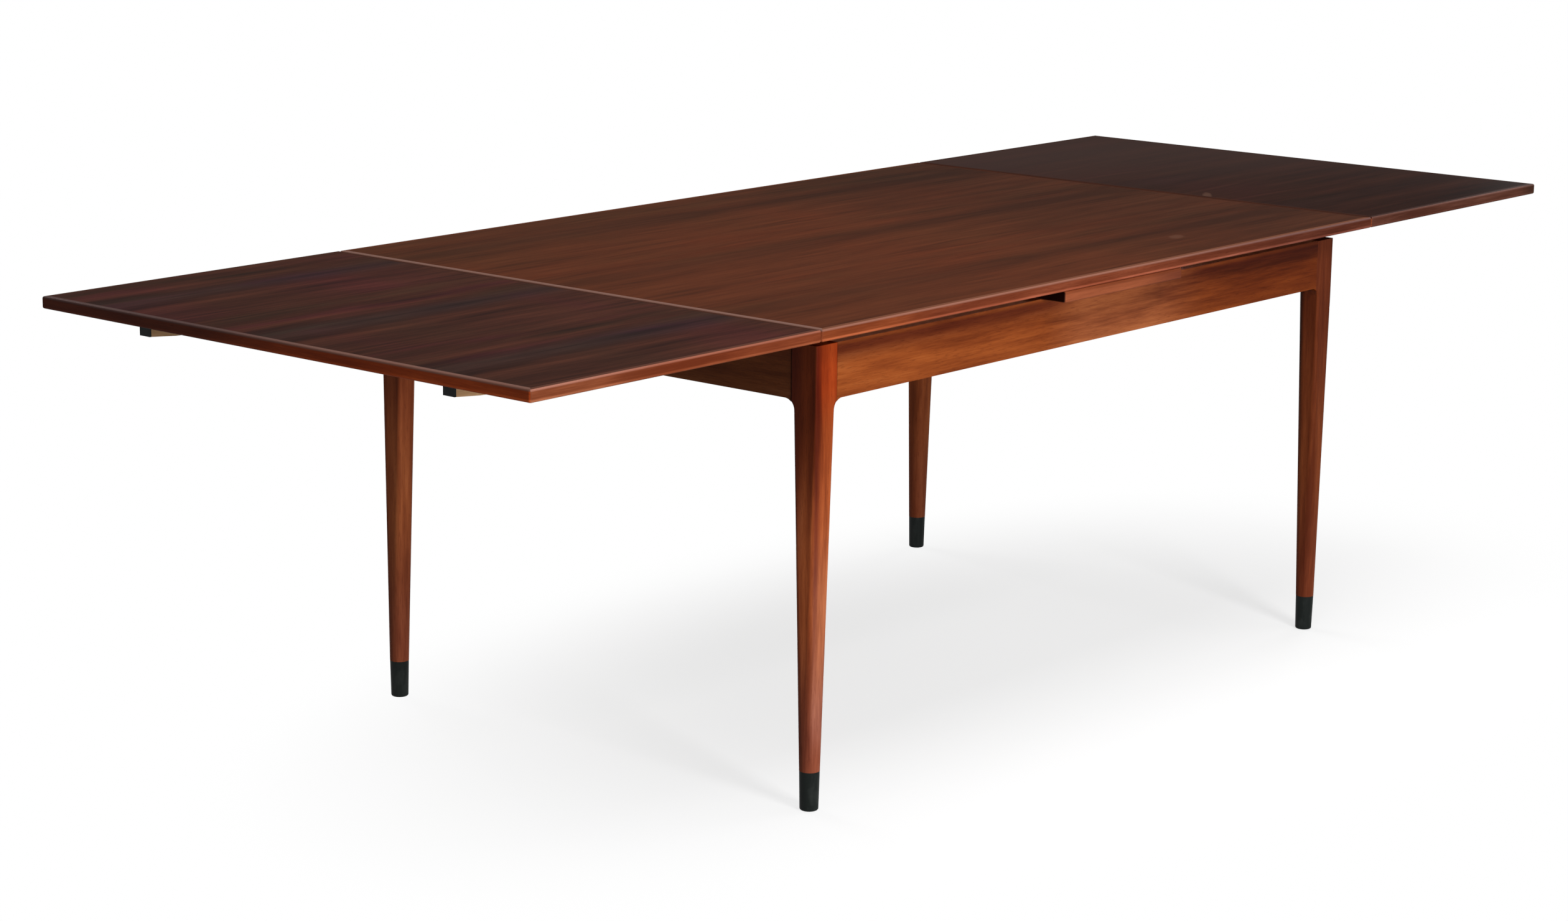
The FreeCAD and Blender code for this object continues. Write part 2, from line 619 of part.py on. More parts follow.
# The two draw leaves, each with its pair of bearers
for end, turn, sign in (("left", 0, "-"), ("right", 180, "")):
    leaf = "leaf_" + end
    offset = bearer_rows[end]
    low_x = f"-{LEAF_OUTER}" if end == "left" else LEAF_INNER
    strips, core = lipped_board(leaf, LEAF_LENGTH, low_x)
    tip = f"{sign}{TIP_X}"
    all_screws = []
    all_pegs = []
    caps = []
    blanks = []
    for side, y in (("front", f"-{offset}"), ("back", offset)):
        name = f"bearer_{end}_{side}"
        body = new_body(name + "_blank")
        profile = new_sketch(body, name + "_profile", "XZ_Plane")
        nose = "Sizes.bearer_nose_length"
        corners = [
            ("0", BEARER_DROP),
            ("0", f"{BEARER_DROP} - Sizes.bearer_tip_depth + Sizes.bearer_nose_rise"),
            (nose, f"{BEARER_DROP} - Sizes.bearer_tip_depth - {FALL} * {nose}"),
            (BEARER_LENGTH, "0"),
            (BEARER_LENGTH, f"{BEARER_DROP} - {FALL} * ({BEARER_LENGTH} - {BEARER_FLAT})"),
            (BEARER_FLAT, BEARER_DROP),
        ]
        outline(profile, corners)
        pad(body, profile, "Sizes.bearer_width", name + "_bar", both_ways=True)
        move(body, tip, y, f"{UNDERSIDE} - {BEARER_DROP}", turn)
        blanks.append((name, body))
        # a black cap closes the visible end
        cap_body = new_body(f"cap_{end}_{side}")
        cap_plan = new_sketch(cap_body, f"cap_{end}_{side}_plan", "XZ_Plane")
        cap_height = "(Sizes.bearer_tip_depth - Sizes.bearer_nose_rise)"
        thick = "Sizes.cap_thickness"
        outline(cap_plan, [("0", "0"), (thick, "0"), (thick, cap_height), ("0", cap_height)])
        pad(cap_body, cap_plan, "Sizes.bearer_width", f"cap_{end}_{side}_pad", both_ways=True)
        cap_x = f"{sign}({TIP_X} + {thick})"
        caps.append(move(cap_body, cap_x, y, f"{UNDERSIDE} - {cap_height}", turn))
        # the stop peg meets the inside of the end apron when the leaf is drawn too far
        peg_at = f"({end_face} - Sizes.stop_gap - Sizes.stop_peg_diameter / 2)"
        low = f"{underside_at(peg_at)} - Sizes.stop_peg_exposed_length"
        tall = "Sizes.stop_peg_exposed_length + Sizes.stop_peg_buried_length"
        peg = f"stop_peg_{end}_{side}"
        all_pegs.append(rod(peg, "Sizes.stop_peg_diameter", tall, f"{sign}{peg_at}", y, low))
        # three screws hold the bearer up to the leaf, their heads sunk in deep holes
        for step in range(SCREWS_PER_BEARER):
            share = f"{step} * {SCREW_ROOM} / {SCREWS_PER_BEARER - 1}"
            along = f"(Sizes.bearer_screw_inset + {share})"
            x = f"{sign}({LEAF_OUTER} - {along})"
            head_z = f"({UNDERSIDE} + Sizes.bearer_screw_bite_depth - Sizes.bearer_screw_length)"
            label = f"bearer_screw_{end}_{side}_{step}"
            all_screws.append(screw(label, "Sizes.bearer_screw_length", x, y, head_z, False))
    peg_node = group(f"stop_pegs_{end}", all_pegs)
    screw_node = group(f"bearer_screws_{end}", all_screws)
    for name, body in blanks:
        y = f"-{offset}" if name.endswith("front") else offset
        bores = []
        for step in range(SCREWS_PER_BEARER):
            share = f"{step} * {SCREW_ROOM} / {SCREWS_PER_BEARER - 1}"
            along = f"(Sizes.bearer_screw_inset + {share})"
            x = f"{sign}({LEAF_OUTER} - {along})"
            head_z = f"({UNDERSIDE} + Sizes.bearer_screw_bite_depth - Sizes.bearer_screw_length)"
            low = f"({UNDERSIDE} - {BEARER_DROP})"
            tall = f"{head_z} - {low}"
            wide = "Sizes.counterbore_diameter"
            bores.append(rod(f"{name}_bore_{step}", wide, tall, x, y, low))
        keep(cut(name, body, bores + [peg_node, screw_node]))
    keep(*strips, cut(leaf + "_panel", core, [screw_node]))
    keep(group(f"bearer_caps_{end}", caps), peg_node, screw_node)

doc.recompute()

# Every object has to be sound before anything is written.
for thing in doc.Objects:
    if "Invalid" in thing.State or "Error" in thing.State:
        raise RuntimeError(f"{thing.Label} failed: {thing.State}")
for node in nodes:
    if node.Shape.isNull() or not node.Shape.isValid() or not node.Shape.Solids:
        raise RuntimeError(f"{node.Label} has no sound solid")

os.makedirs("parts", exist_ok=True)
for node in nodes:
    node.Shape.exportStep(f"parts/{node.Label}.step")
    solids = len(node.Shape.Solids)
    print(f"{node.Label}: {solids} solids, {node.Shape.Volume / 1000:.1f} cubic centimetres")
print(len(nodes), "nodes")
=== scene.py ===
import math
import bpy
from mathutils import Matrix, Vector

# Extending dining table: looks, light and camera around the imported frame. Lengths and
# places are in metres. A span is a pair: where a change starts, and where it is full.
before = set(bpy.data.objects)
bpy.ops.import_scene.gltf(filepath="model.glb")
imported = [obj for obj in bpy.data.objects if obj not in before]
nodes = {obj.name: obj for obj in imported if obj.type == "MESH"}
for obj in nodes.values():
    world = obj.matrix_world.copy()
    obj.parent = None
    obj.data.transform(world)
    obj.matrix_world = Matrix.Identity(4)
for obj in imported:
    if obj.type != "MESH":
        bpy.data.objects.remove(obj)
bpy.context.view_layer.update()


# Shader arithmetic

class Amount:
    """One shader value that plain arithmetic works on."""

    def __init__(self, network, socket):
        self.network = network
        self.socket = socket

    def _with(self, operation, first, second):
        inputs = {0: first, 1: second}
        return self.network.node("ShaderNodeMath", {"operation": operation}, inputs)

    def __add__(self, other):
        return self._with("ADD", self, other)

    def __radd__(self, other):
        return self._with("ADD", other, self)

    def __sub__(self, other):
        return self._with("SUBTRACT", self, other)

    def __rsub__(self, other):
        return self._with("SUBTRACT", other, self)

    def __mul__(self, other):
        return self._with("MULTIPLY", self, other)

    def __rmul__(self, other):
        return self._with("MULTIPLY", other, self)

    def __pow__(self, other):
        return self._with("POWER", self, other)

    def __gt__(self, other):
        return self._with("GREATER_THAN", self, other)


class Network:
    """The shader nodes of a material or of the world."""

    def __init__(self, tree):
        self.tree = tree

    def node(self, kind, settings=None, inputs=None, output=0):
        """A new node with its settings and sockets, as the value of one of its outputs."""
        made = self.tree.nodes.new(kind)
        for key, value in (settings or {}).items():
            if key == "stops":
                self._set_stops(made.color_ramp, value)
            else:
                setattr(made, key, value)
        for key, value in (inputs or {}).items():
            self.join(value, made.inputs[key])
        return Amount(self, made.outputs[output])

    def _set_stops(self, ramp, stops):
        while len(ramp.elements) < len(stops):
            ramp.elements.new(0.5)
        for element, (place, colour) in zip(ramp.elements, stops):
            element.position = place
            element.color = (*colour, 1)

    def join(self, value, socket):
        """Links a worked-out value to a socket, or sets a plain one on it."""
        if isinstance(value, Amount):
            self.tree.links.new(value.socket, socket)
        else:
            socket.default_value = value

    def seen(self):
        """1 where the camera, metal or glass looks at it, and 0 where it lights the table."""
        outputs = self.node("ShaderNodeLightPath").socket.node.outputs
        looks = ["Is Camera Ray", "Is Glossy Ray", "Is Transmission Ray"]
        return sum(Amount(self, outputs[look]) for look in looks) > 0.5


class Finish(Network):
    """A material that is built up node by node. Its x, y and z are the place on a piece."""

    def __init__(self, name):
        self.material = bpy.data.materials.new(name)
        self.material.use_nodes = True
        super().__init__(self.material.node_tree)
        self.shader = self.tree.nodes["Principled BSDF"]
        place = self.node("ShaderNodeTexCoord", output="Object")
        split = self.node("ShaderNodeSeparateXYZ", inputs={0: place})
        self.x, self.y, self.z = [Amount(self, part) for part in split.socket.node.outputs]

    def feed(self, name, value):
        self.join(value, self.shader.inputs[name])

    def point(self, x, y, z):
        return self.node("ShaderNodeCombineXYZ", inputs={0: x, 1: y, 2: z})

    def noise(self, point, scale, detail=2.0, roughness=0.5, distortion=0.0):
        inputs = {"Vector": point, "Scale": scale, "Detail": detail,
                  "Roughness": roughness, "Distortion": distortion}
        return self.node("ShaderNodeTexNoise", inputs=inputs)

    def level(self, value, start, full):
        """0 before a span, 1 past it and smooth between."""
        settings = {"interpolation_type": "SMOOTHSTEP"}
        inputs = {"Value": value, "From Min": start, "From Max": full}
        return self.node("ShaderNodeMapRange", settings, inputs)

    def past(self, axis, start, full):
        """How far a place lies past a span of one axis."""
        return self.level({"x": self.x, "y": self.y, "z": self.z}[axis], start, full)

    def within(self, axis, rise, fall):
        """1 between two spans of one axis, and 0 outside them."""
        return self.past(axis, *rise) * (1 - self.past(axis, *fall))

    def facing(self, axis):
        """How squarely the surface faces along an axis, from -1 to 1."""
        normal = self.node("ShaderNodeNewGeometry", output="Normal")
        return self.node("ShaderNodeSeparateXYZ", inputs={0: normal}, output=axis.upper())

    def mix(self, share, first, second, blend="MIX"):
        """Two colours mixed."""
        settings = {"data_type": "RGBA", "blend_type": blend}
        inputs = {0: share, 6: first, 7: second}
        return self.node("ShaderNodeMix", settings, inputs, output=2)

    def satin(self, weight, rough):
        """No mirror of the material's own, only a thin satin coat."""
        self.feed("Specular IOR Level", 0.0)
        self.feed("Coat Weight", weight)
        self.feed("Coat Roughness", rough)

    def bump(self, height, depth, strength):
        inputs = {"Strength": strength, "Distance": depth, "Height": height}
        self.feed("Normal", self.node("ShaderNodeBump", inputs=inputs))


def paint(names, finish):
    for name in names:
        slots = nodes[name].data.materials
        slots.clear()
        slots.append(finish.material)


# Timber

# Each layer of grain is a noise drawn out along the fibres: the share of the run that
# counts, and the noise's scale, detail, roughness and distortion.
SOLID_GRAIN = {
    "band": (0.11, 17.0, 3.0, 0.55),
    "line": (0.07, 85.0, 3.0, 0.60),
    "fibre": (0.035, 520.0, 2.0, 0.60),
    "pore": (0.06, 950.0, 1.0, 0.50),
}
VENEER_GRAIN = {
    "band": (0.075, 26.0, 3.0, 0.55, 0.2),
    "line": (0.055, 105.0, 4.0, 0.62),
    "fibre": (0.03, 600.0, 2.0, 0.60),
    "pore": (0.05, 1000.0, 1.0, 0.50),
}
# How much each layer counts
SOLID_SHARES = {"band": 0.52, "line": 0.34, "fibre": 0.14}
VENEER_SHARES = {"band": 0.55, "line": 0.33, "fibre": 0.12}
# Where the four tones lie on the grain's scale, from dark streak to pale fibre
TONE_PLACES = (0.36, 0.46, 0.55, 0.66)
PORE_SPAN = (0.60, 0.70)

# The grain sways slowly: how fast along the run and to the sides, and how far
RUN_SWAY = 0.9
SIDE_SWAY = 1.2
SOLID_SWAY_REACH = 0.02
VENEER_SWAY_REACH = 0.035

# How rough the oiled timber is, and how much rougher on its fibres and in its pores
SOLID_ROUGH = 0.42
BOARD_ROUGH = 0.4
FIBRE_ROUGH = 0.2
PORE_ROUGH = 0.15
SATIN_ROUGH = 0.3


class Timber(Finish):
    """A wooden piece: its grain is drawn first, then its wear and painted light and shade,
    and its oil comes last.
    """

    def tinted(self, share, colour, shade):
        """A colour multiplied by a shade, as far as the share says."""
        return self.mix(share, colour, self.mix(1.0, colour, (*shade, 1), "MULTIPLY"))

    def tint(self, share, shade):
        self.colour = self.tinted(share, self.colour, shade)

    def cover(self, share, colour):
        """Lays a colour over the timber, as far as the share says."""
        self.colour = self.mix(share, self.colour, (*colour, 1))

    def layer(self, kind, run, side, up, seed=0.0):
        """One layer of grain. The run lies along the fibres, side and up across them."""
        run_share, *look = kind
        return self.noise(self.point(run * run_share + seed, side, up), *look)

    def sway(self, scale, run, side, up, seed=0.0):
        """How the grain wanders sideways, from -0.5 to 0.5."""
        place = self.point(run * RUN_SWAY + seed, side * SIDE_SWAY, up * SIDE_SWAY)
        return self.noise(place, scale) - 0.5

    def draw(self, tone, tones):
        """The colour of each strength of the grain."""
        stops = list(zip(TONE_PLACES, tones))
        self.colour = self.node("ShaderNodeValToRGB", {"stops": stops}, {"Fac": tone})

    def open_pores(self, pores, strength, colour):
        """Short dark dashes where the pores lie open."""
        self.dash = self.level(pores, *PORE_SPAN)
        self.cover(self.dash * strength, colour)

    def grow(self, along, tones, seed, streak):
        """Solid timber: bands and lines that wander a little, fibre and open pores."""
        x, y, z = self.x, self.y, self.z
        run, side, up = {"x": (x, y, z), "y": (y, x, z), "z": (z, x, y)}[along]
        sway = self.sway(2.0, run, side, up, seed) * SOLID_SWAY_REACH
        band = self.layer(SOLID_GRAIN["band"], run, side + sway, up + sway, seed)
        line = self.layer(SOLID_GRAIN["line"], run, side + sway, up + sway, seed)
        self.fibre = self.layer(SOLID_GRAIN["fibre"], run, side, up, -seed)
        pores = self.layer(SOLID_GRAIN["pore"], run, side, up, seed)
        shares = SOLID_SHARES
        tone = band * shares["band"] + line * (shares["line"] * streak)
        self.draw(tone + self.fibre * shares["fibre"], tones)
        self.open_pores(pores, strength=0.4, colour=tones[0])

    def oil(self, rough, coat, coat_rough=SATIN_ROUGH):
        """Oiled timber, a little rougher on its fibres and in its pores."""
        fibres = (self.fibre - 0.5) * FIBRE_ROUGH
        self.feed("Base Color", self.colour)
        self.feed("Roughness", rough + fibres + self.dash * PORE_ROUGH)
        self.satin(coat, coat_rough)

    def plane(self):
        """The relief that a plane leaves on solid timber."""
        self.bump(self.fibre * 0.4 - self.dash * 0.6, depth=0.0002, strength=0.5)


def deeper(share, tones):
    """Tones with all three colours changed by one share."""
    return [tuple(value * share for value in tone) for tone in tones]


def toned(shade, tones):
    """Tones with each of the three colours changed by its own share."""
    return [tuple(value * share for value, share in zip(tone, shade)) for tone in tones]


def solid(name, along, tones, seed=0.0, streak=1.0, wear_and_light=()):
    """A solid piece whose grain runs along one axis. Each of its marks, whether wear, tint or
    painted light and shade, is a function of it.
    """
    wood = Timber(name)
    wood.grow(along, tones, seed, streak)
    for marking in wear_and_light:
        marking(wood)
    wood.oil(SOLID_ROUGH, coat=0.08)
    wood.plane()
    return wood


# Book-matched veneer: each sheet is mirrored in its neighbour at the joints

SHEET_WIDTH = 0.17
JOINT_LINE = 0.015
JOINT_SPAN = (0.0003, 0.0012)
JOINT_STRENGTH = 0.45
HEART_SPAN = (0.004, 0.055)
HEART_LEAST = 0.35
HEART_RANGE = 0.9
DARK_CLOUD_SPAN = (0.5, 0.68)
PALE_CLOUD_SPAN = (0.5, 0.32)
CLOUD_LEVEL = 2.0


def veneer(name, tones, stain, hues, contrast=1.0, wear_and_light=()):
    """A board's face in matched sheets. stain is the shade of the dark heart at every
    other joint, and hues are the shades of the clouds that lie over the sheets."""
    wood = Timber(name)
    x, y = wood.x, wood.y
    folded = {0: y - JOINT_LINE, 1: SHEET_WIDTH}
    sheet = wood.node("ShaderNodeMath", {"operation": "PINGPONG"}, folded)
    flow = sheet + wood.sway(1.6, x, y, 0.0) * VENEER_SWAY_REACH
    band = wood.layer(VENEER_GRAIN["band"], x, flow, 0.0)
    line = wood.layer(VENEER_GRAIN["line"], x, flow, 0.0)
    wood.fibre = wood.layer(VENEER_GRAIN["fibre"], x, y, 0.0)
    pores = wood.layer(VENEER_GRAIN["pore"], x, y, 0.0)
    shares = VENEER_SHARES
    grain = band * shares["band"] + line * shares["line"] + wood.fibre * shares["fibre"]
    wood.draw(0.5 + (grain - 0.5) * contrast, tones)
    uneven = wood.noise(wood.point(x * 0.5, flow * 2.0, 0.0), scale=5.0)
    heart = (1 - wood.level(flow, *HEART_SPAN)) * (HEART_LEAST + uneven * HEART_RANGE)
    wood.tint(heart, stain)
    cloud = wood.noise(wood.point(x * 0.35, y + flow, CLOUD_LEVEL), scale=9.0)
    wood.tint(wood.level(cloud, *DARK_CLOUD_SPAN), hues[0])
    wood.tint(wood.level(cloud, *PALE_CLOUD_SPAN), hues[1])
    joint = 1 - wood.level(sheet, *JOINT_SPAN)
    wood.cover(joint * JOINT_STRENGTH, tones[0])
    wood.open_pores(pores, strength=0.35, colour=tones[0])
    for marking in wear_and_light:
        marking(wood)
    wood.oil(BOARD_ROUGH, coat=0.03, coat_rough=0.28)
    relief = wood.fibre * 0.35 - wood.dash * 0.5 - joint
    wood.bump(relief, depth=0.00015, strength=0.4)
    return wood


def painted_top_shade(wood):
    """Painted shade: the middle board is warmer at its front left, and darker and duller
    towards the right and the back, where less light falls.
    """
    wood.tint(wood.past("x", -0.1, 0.7), shade=(0.66, 0.80, 1.0))
    wood.tint(wood.past("y", 0.18, 0.45), shade=(0.82, 0.95, 1.05))


def right_leaf_front_and_sheen(wood):
    """The right leaf is darker along its front, and a painted sheen makes it greyer and paler
    towards its far corner.
    """
    wood.tint(wood.past("y", -0.38, -0.45), shade=(0.72, 0.68, 0.66))
    far_sheen = wood.level(wood.x * 0.6 + wood.y, 0.2, 1.1)
    wood.cover(far_sheen * 0.6, colour=(0.046, 0.026, 0.022))


SPOT_EDGE_SPAN = (0.25, 1.0)
SPOT_COLOUR = (0.28, 0.15, 0.10)


def spot(middle, half_length, half_width, turn, strength):
    """Wear: a small rubbed place with a ragged edge, where the finish has gone pale."""
    def marking(wood):
        x, y = wood.x - middle[0], wood.y - middle[1]
        long = x * math.cos(turn) + y * math.sin(turn)
        wide = y * math.cos(turn) - x * math.sin(turn)
        reach = (long * (1 / half_length)) ** 2 + (wide * (1 / half_width)) ** 2
        close = wood.point(wood.x * 6, wood.y * 6, 0.0)
        ragged = wood.noise(close, scale=20.0, detail=3.0) - 0.5
        inside = 1 - wood.level(reach + ragged, *SPOT_EDGE_SPAN)
        wood.cover(inside * strength, SPOT_COLOUR)
    return marking


top_tones = [(0.043, 0.0128, 0.0056), (0.070, 0.0188, 0.0074),
             (0.090, 0.0240, 0.0092), (0.116, 0.032, 0.0122)]
left_tones = [(0.019, 0.0072, 0.0053), (0.033, 0.0112, 0.0072),
              (0.047, 0.0153, 0.0094), (0.067, 0.0215, 0.0125)]
right_tones = [(0.016, 0.0063, 0.0045), (0.0235, 0.0084, 0.0055),
               (0.029, 0.0100, 0.0064), (0.038, 0.0132, 0.0082)]
top_hues = [(1.06, 0.98, 0.95), (0.92, 1.0, 1.0)]
left_hues = [(1.16, 0.92, 1.25), (0.85, 1.05, 1.0)]
right_hues = [(1.05, 0.98, 1.1), (0.95, 1.02, 1.0)]
top_scar = spot((0.319, -0.375), half_length=0.026, half_width=0.014, turn=0.3,
                strength=0.10)
right_scar = spot((0.760, -0.145), half_length=0.045, half_width=0.010, turn=0.6,
                  strength=0.14)

paint(["top_panel"],
      veneer("top_veneer", deeper(0.88, top_tones), stain=(0.66, 0.72, 0.80),
             hues=top_hues, contrast=0.85, wear_and_light=[painted_top_shade, top_scar]))
paint(["leaf_left_panel"],
      veneer("left_leaf_veneer", left_tones, stain=(0.55, 0.85, 1.2), hues=left_hues))
paint(["leaf_right_panel"],
      veneer("right_leaf_veneer", deeper(0.84, right_tones), stain=(0.8, 0.95, 1.1),
             hues=right_hues, contrast=1.25, wear_and_light=[right_leaf_front_and_sheen, right_scar]))


# Lippings: the solid strips round the boards

edge_tones = [(0.11, 0.020, 0.006), (0.17, 0.036, 0.012),
              (0.25, 0.060, 0.022), (0.33, 0.090, 0.036)]
UPPER_ARRIS_SPAN = (0.7262, 0.7285)
LOWER_ARRIS_SPAN = (0.7145, 0.7175)
FLAT_FACE_SPAN = (0.90, 0.99)


def lipping(name, along, seed, arris, shade=(1, 1, 1), fades=(), coat=0.03, face=None,
            lower_arris_light=(1.5, 1.6, 1.7)):
    """A strip round a board. arris is the colour of its upper arris: worn pale in part, and
    in part a painted highlight where the arris catches the light. face is that of its flat
    upper face where it differs, and the last argument is the painted light that brightens its
    lower arris. A fade is an axis, a span of it, the shade past the span, and its share on
    the upper arris."""
    wood = Timber(name)
    wood.grow(along, edge_tones, seed, streak=0.8)
    wood.tint(1.0, shade)
    # The upper arris: worn pale in part, and in part a painted highlight.
    uneven = 0.75 + wood.fibre * 0.5
    worn_and_lit_edge = wood.past("z", *UPPER_ARRIS_SPAN) * uneven
    line = (*arris, 1)
    for axis, span, shade_past, arris_share in fades:
        share = wood.past(axis, *span)
        wood.tint(share, shade_past)
        line = wood.tinted(share * arris_share, line, shade_past)
    if face:
        flat = wood.level(wood.facing("z"), *FLAT_FACE_SPAN)
        line = wood.mix(flat, line, (*face, 1))
    wood.colour = wood.mix(worn_and_lit_edge, wood.colour, line)
    # Painted light brightens the lower arris.
    wood.tint(1 - wood.past("z", *LOWER_ARRIS_SPAN), lower_arris_light)
    wood.oil(BOARD_ROUGH, coat)
    wood.plane()
    return wood


# Fades along the strips. The darkening of the middle board's front strip towards the right,
# and of the left leaf's end strip towards the back, is painted shade where less light falls.
pale_tip = ("x", (-1.05, -1.25), (1.3, 1.7, 2.0), 0.7)
paler_left_end = ("x", (-0.45, -0.60), (1.45, 1.5, 1.2), 0.0)
shaded_right = ("x", (-0.1, 0.6), (0.58, 0.64, 0.80), 1.0)
paler_far_end = ("x", (0.85, 1.15), (1.6, 1.9, 2.1), 0.6)
dark_corner = ("x", (1.25, 1.31), (0.55, 0.60, 0.60), 0.7)
shaded_back = ("y", (-0.20, 0.20), (0.18, 0.19, 0.30), 0.7)

paint(["leaf_left_lipping_front"],
      lipping("left_leaf_front_strip", "x", seed=1.7, arris=(0.25, 0.083, 0.050),
              shade=(1.12, 1.15, 1.25), fades=[pale_tip], coat=0.07,
              face=(0.075, 0.024, 0.013), lower_arris_light=(1.8, 2.2, 2.5)))
paint(["top_lipping_front"],
      lipping("top_front_strip", "x", seed=2.9, arris=(0.225, 0.095, 0.065),
              shade=(0.9, 0.92, 1.1), fades=[paler_left_end, shaded_right], coat=0.06,
              face=(0.125, 0.042, 0.020), lower_arris_light=(2.4, 2.8, 3.4)))
paint(["leaf_right_lipping_front"],
      lipping("right_leaf_front_strip", "x", seed=4.3, arris=(0.109, 0.045, 0.033),
              shade=(0.46, 0.65, 1.1), fades=[paler_far_end, dark_corner], coat=0.055,
              face=(0.030, 0.0105, 0.0072)))
paint(["leaf_left_lipping_back"],
      lipping("left_leaf_back_strip", "x", seed=5.9, arris=(0.045, 0.016, 0.009)))
paint(["top_lipping_back"],
      lipping("top_back_strip", "x", seed=6.1, arris=(0.085, 0.023, 0.009)))
paint(["leaf_right_lipping_back"],
      lipping("right_leaf_back_strip", "x", seed=7.7, arris=(0.035, 0.013, 0.008)))
# The left leaf's end strip is made brighter as painted light, since little light falls on it.
paint(["leaf_left_lipping_left"],
      lipping("left_leaf_end_strip", "y", seed=8.3, arris=(0.135, 0.062, 0.045),
              shade=(1.8, 1.35, 0.9), fades=[shaded_back], coat=0.09))
paint(["top_lipping_left"],
      lipping("top_left_strip", "y", seed=9.1, arris=(0.15, 0.075, 0.056), coat=0.09))
paint(["leaf_left_lipping_right"],
      lipping("left_leaf_inner_strip", "y", seed=9.9, arris=(0.038, 0.0125, 0.007)))
paint(["top_lipping_right"],
      lipping("top_right_strip", "y", seed=10.7, arris=(0.042, 0.0135, 0.0072), coat=0.02))
paint(["leaf_right_lipping_left"],
      lipping("right_leaf_inner_strip", "y", seed=11.3, arris=(0.030, 0.010, 0.006)))
paint(["leaf_right_lipping_right"],
      lipping("right_leaf_end_strip", "y", seed=12.1, arris=(0.032, 0.0125, 0.0075),
              shade=(0.6, 0.7, 0.8)))


# Aprons: a painted shadow of the boards' overhang lies below them

# The painted shadow below the boards comes in over the first span. Over the second, the worn
# upper edge is painted lighter, as if lit.
OVERHANG_SHADOW_SPAN = (0.652, 0.686)
APRON_EDGE_SPAN = (0.686, 0.6925)
SHADOW_OVER_SHADED_END = 0.6
UPPER_FACE_SPAN = (0.5, 0.9)
UNDER_BRIDGE_SPANS = (-0.20, -0.165), (0.15, 0.16)
PALER_MIDDLE_SPANS = (-0.16, -0.02), (0.14, 0.32)
SHADED_END_SPAN = (0.18, 0.48)

frame_tones = [(0.13, 0.024, 0.0055), (0.24, 0.051, 0.011),
               (0.34, 0.080, 0.017), (0.43, 0.118, 0.029)]
# The shade of the painted shadow below the boards
overhang_shadow_shade = (0.42, 0.32, 0.46)


def overhang_shadow_on(wood, worn_and_lit_edge):
    """Where the painted shadow of the overhang lies, with a share of it taken off at the
    apron's upper edge, which is worn pale and painted lighter as if lit.
    """
    return wood.past("z", *OVERHANG_SHADOW_SPAN) * (1 - wood.past("z", *APRON_EDGE_SPAN) * worn_and_lit_edge)


def overhang_shadowed(worn_and_lit_edge, shade=overhang_shadow_shade):
    """Painted shade: the shadow of the boards' overhang on an apron."""
    def marking(wood):
        wood.tint(overhang_shadow_on(wood, worn_and_lit_edge), shade)
    return marking


def front_apron_light_and_shade(wood):
    """Painted light on the upper face, which lies in the boards' shade, but for the part
    under the bridge; a paler middle; painted shade on the right end, where less light falls;
    and the painted shadow below the boards."""
    clear_of_bridge = 1 - wood.within("x", *UNDER_BRIDGE_SPANS)
    lit_upper_face = wood.level(wood.facing("z"), *UPPER_FACE_SPAN) * clear_of_bridge
    # The upper face gets a pale colour as painted light.
    wood.cover(lit_upper_face, colour=(0.75, 0.28, 0.17))
    paler_middle = wood.within("x", *PALER_MIDDLE_SPANS)
    wood.tint(paler_middle, shade=(1.27, 1.62, 2.6))
    shade_below_top = overhang_shadow_on(wood, worn_and_lit_edge=0.75) * (1 - lit_upper_face) * (1 - paler_middle)
    shaded_end = wood.past("x", *SHADED_END_SPAN) * (1 - shade_below_top * SHADOW_OVER_SHADED_END)
    wood.tint(shaded_end, shade=(0.64, 0.54, 0.46))
    wood.tint(shade_below_top, overhang_shadow_shade)


paint(["apron_front"],
      solid("front_apron", "x", deeper(0.92, frame_tones), seed=1.3,
            wear_and_light=[front_apron_light_and_shade]))
paint(["apron_back"],
      solid("back_apron", "x", frame_tones, seed=1.9, wear_and_light=[overhang_shadowed(worn_and_lit_edge=0.5)]))
# The end aprons are darker copies of the frame's tones: painted shade, deepest on the left
# one, which lies under the leaf.
paint(["apron_left"],
      solid("left_apron", "y", toned((0.38, 0.46, 0.68), frame_tones), seed=2.1,
            wear_and_light=[overhang_shadowed(worn_and_lit_edge=0.0, shade=(0.8, 0.7, 0.7))]))
paint(["apron_right"],
      solid("right_apron", "y", deeper(0.68, frame_tones), seed=2.1,
            wear_and_light=[overhang_shadowed(worn_and_lit_edge=0.5)]))


# Bridge and legs

LEFT_FACE_SPAN = (0.5, 0.95)
# Painted shade along the bridge's upper edge, where it meets the top, and on its right end
BRIDGE_CONTACT_SHADE_SPAN = (0.705, 0.711)
BRIDGE_SHADED_END_SPAN = (0.03, 0.159)

# Along a leg's height
FOOT_SPAN = (0.32, 0.10)
HEAD_SPAN = (0.56, 0.64)
SHIN_SPANS = (0.44, 0.30), (0.07, 0.17)
SHADED_SIDE_SPAN = (0.38, 0.60)
# Where the painted shade along the near leg's edges comes in
EDGE_SHADE_SPAN = (0.1, 0.35)
# Across the near leg
OUTER_CORNER_SPAN = (-0.691, -0.680)
FAR_EDGE_SPAN = (-0.432, -0.408)

bridge_tones = [(0.22, 0.057, 0.023), (0.30, 0.080, 0.033),
                (0.37, 0.105, 0.045), (0.45, 0.135, 0.060)]
leg_tones = [(0.13, 0.026, 0.0085), (0.22, 0.050, 0.0155),
             (0.31, 0.078, 0.0240), (0.39, 0.112, 0.037)]


